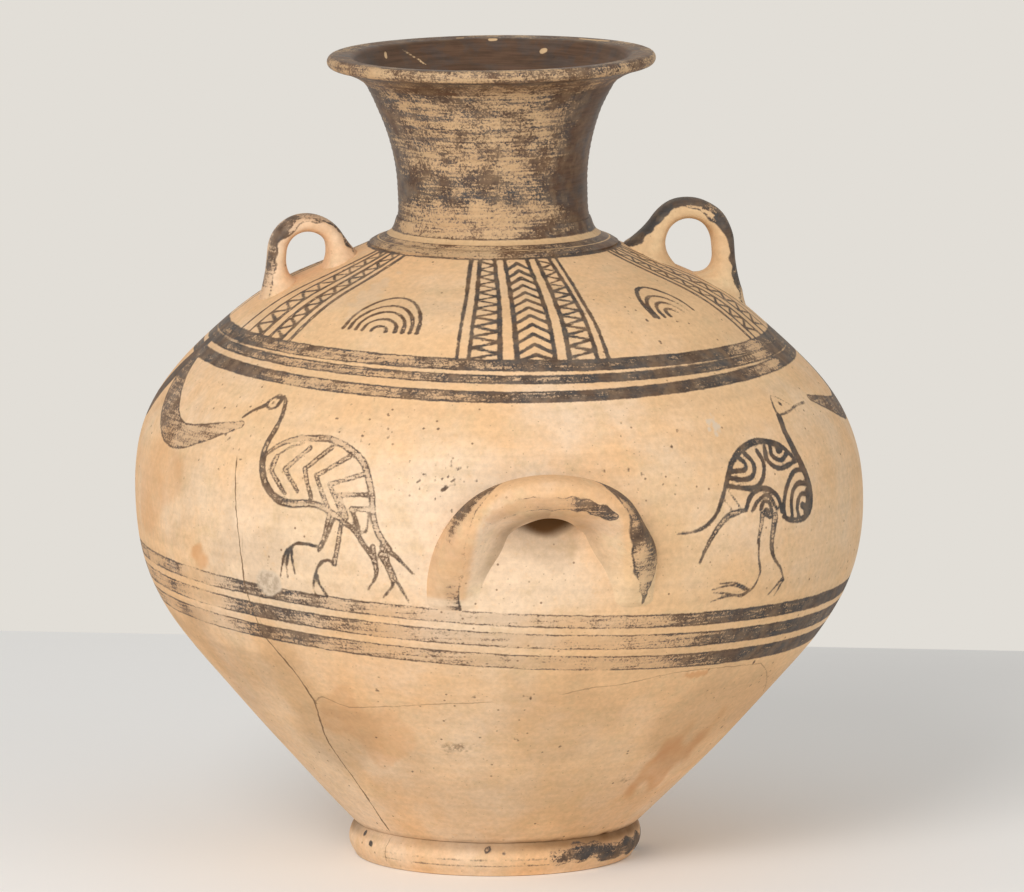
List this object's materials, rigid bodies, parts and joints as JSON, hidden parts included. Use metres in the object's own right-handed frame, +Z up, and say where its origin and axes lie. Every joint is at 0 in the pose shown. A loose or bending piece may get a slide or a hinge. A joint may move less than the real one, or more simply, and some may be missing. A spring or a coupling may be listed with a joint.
{
  "type": "four-handled amphora",
  "caption": "Round-bellied painted clay storage jar with a ring foot, flaring neck and flat rim, loop handles on the shoulder and upturned arch handles on the belly.",
  "frame": {"origin": "centre of the foot ring's underside, on the surface that the jar stands on", "axes": "+Z up along the jar's axis; belly handles on -Y (front) and +Y; shoulder handles on -X and +X"},
  "size_m": [0.406, 0.4712, 0.45],
  "materials": {
    "body_clay": "unglazed buff clay with worn dark painted bands and figures, matt",
    "foot_clay": "unglazed buff clay with patches of worn dark paint, matt",
    "neck_paint": "dark brown paint worn through to the clay, slight sheen",
    "handle_clay": "unglazed buff clay with a worn dark band along the back, matt"
  },
  "bodies": {
    "root": {"foot_ring": "foot_clay", "lower_body": "body_clay", "lower_belly": "body_clay", "upper_belly": "body_clay", "shoulder": "body_clay", "neck_collar": "neck_paint", "neck": "neck_paint", "rim": "neck_paint", "shoulder_handle_left": "handle_clay", "shoulder_handle_right": "handle_clay", "belly_handle_front": "handle_clay", "belly_handle_back": "handle_clay"}
  },
  "joints": []
}
